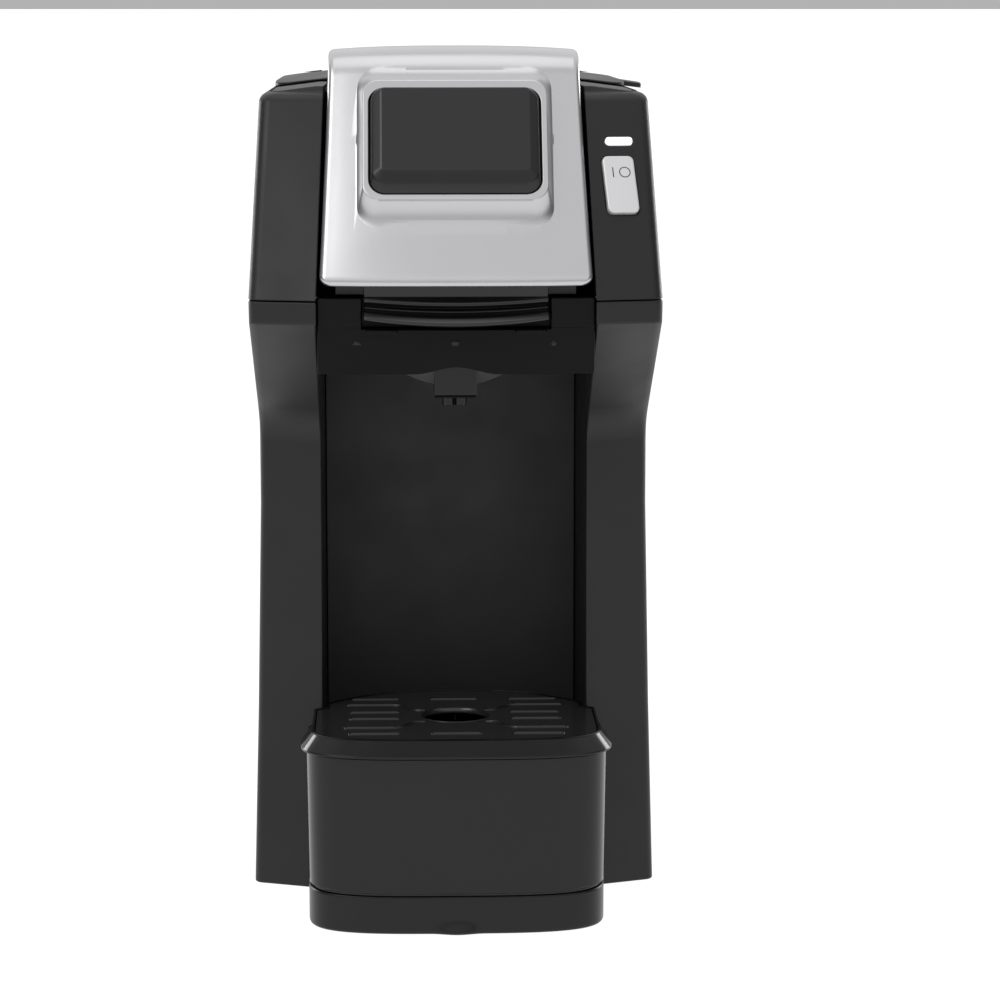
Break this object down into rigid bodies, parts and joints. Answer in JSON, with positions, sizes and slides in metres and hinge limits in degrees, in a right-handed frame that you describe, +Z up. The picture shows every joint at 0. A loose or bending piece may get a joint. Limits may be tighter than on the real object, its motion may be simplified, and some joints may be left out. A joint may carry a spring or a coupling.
{
  "type": "pod coffee maker",
  "caption": "Single-serve pod coffee maker with a hinged brew lid, tank lid, brew button, lift-out cup rest, drip tray and grate, and hollow housing with heater.",
  "frame": {"origin": "on the table under the middle of the machine's bounding box", "axes": "+Z up, +X to the user's right, front faces -Y"},
  "size_m": [0.1524, 0.2388, 0.319],
  "materials": {
    "satin_black": "satin moulded plastic",
    "gloss_black": "polished plastic",
    "panel_black": "fine textured plastic",
    "silver": "satin silver paint on plastic",
    "charcoal": "satin charcoal plastic",
    "grey_plastic": "moulded grey plastic",
    "inner_black": "moulded plastic",
    "steel": "stainless",
    "cast_aluminium": "as cast",
    "rubber": "matt",
    "silicone": "translucent silicone",
    "smoked_clear": "clear smoked plastic",
    "circuit_board": "lacquered board",
    "lamp": "frosted light pipe"
  },
  "bodies": {
    "housing": {"lower_housing": "satin_black", "upper_housing": "satin_black", "alcove_panel": "panel_black", "rear_cover": "satin_black", "cord_bushing": "rubber", "base": "satin_black", "rubber_foot_front_left": "rubber", "rubber_foot_front_right": "rubber", "rubber_foot_rear_left": "rubber", "rubber_foot_rear_right": "rubber", "brew_head": "satin_black", "brew_basket": "grey_plastic", "pod_holder": "inner_black", "lower_needle": "steel", "spout": "inner_black", "water_tank": "smoked_clear", "check_valve": "inner_black", "inlet_hose": "silicone", "heater": "cast_aluminium", "heater_bracket": "steel", "thermostat": "steel", "thermal_fuse": "steel", "riser_hose": "silicone", "outlet_pipe": "inner_black", "control_board": "circuit_board", "brew_switch": "inner_black", "light_source": "lamp", "light_lens": "lamp", "lid_hinge_pin": "steel"},
    "brew_lid": {"lid_shell": "silver", "lid_liner": "inner_black", "badge_plate": "charcoal", "lift_handle": "gloss_black", "upper_needle": "steel", "pod_seal": "silicone"},
    "reservoir_lid": {"tank_lid": "satin_black"},
    "button": {"brew_button": "silver"},
    "rest": {"cup_rest": "gloss_black"},
    "tray": {"drip_tray": "gloss_black"},
    "grate": {"drip_grate": "gloss_black"}
  },
  "joints": [
    {"name": "brew_lid_hinge", "type": "hinge", "parent": "housing", "child": "brew_lid", "pos_m": [0, -0.003, 0.3005], "axis": [-1, 0, 0], "range_deg": [0, 80]},
    {"name": "tank_lid_hinge", "type": "hinge", "parent": "housing", "child": "reservoir_lid", "pos_m": [0, 0.109, 0.3024], "axis": [-1, 0, 0], "range_deg": [0, 80]},
    {"name": "brew_button_press", "type": "slide", "parent": "housing", "child": "button", "axis": [-0.1505, 0.8613, -0.4853], "range_m": [0, 0.0015], "stiffness_N_per_m": 300},
    {"name": "cup_rest_slide", "type": "slide", "parent": "housing", "child": "rest", "axis": [0, -1, 0], "range_m": [0, 0.1]},
    {"name": "drip_tray_lift", "type": "slide", "parent": "rest", "child": "tray", "axis": [0, 0, 1], "range_m": [0, 0.025]},
    {"name": "drip_grate_lift", "type": "slide", "parent": "tray", "child": "grate", "axis": [0, 0, 1], "range_m": [0, 0.015]}
  ]
}
